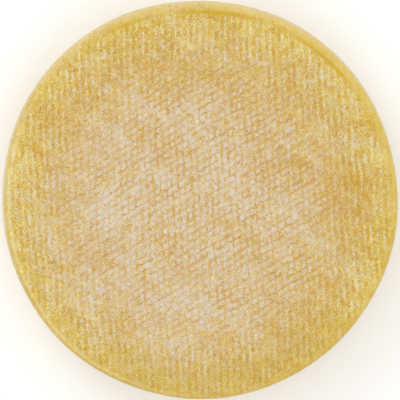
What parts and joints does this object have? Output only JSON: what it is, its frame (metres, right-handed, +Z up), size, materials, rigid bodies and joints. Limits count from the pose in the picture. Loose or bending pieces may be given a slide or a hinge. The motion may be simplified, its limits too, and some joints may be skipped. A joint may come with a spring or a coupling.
{
  "type": "raclette cheese wheel",
  "caption": "Whole pressed cheese wheel with flat faces, rounded edges, a bulging side and a pressed groove along parts of its upper rim.",
  "frame": {"origin": "middle of the wheel's base, on the plane it rests on", "axes": "+Z up through both flat faces; X and Y lie in the base, and the strongest part of the rim's groove is towards +Y and +X"},
  "size_m": [0.3084, 0.3108, 0.066],
  "materials": {
    "rind": "matt, cloth-marked, golden with a pale bloom"
  },
  "bodies": {
    "root": {"cheese_wheel": "rind"}
  },
  "joints": []
}
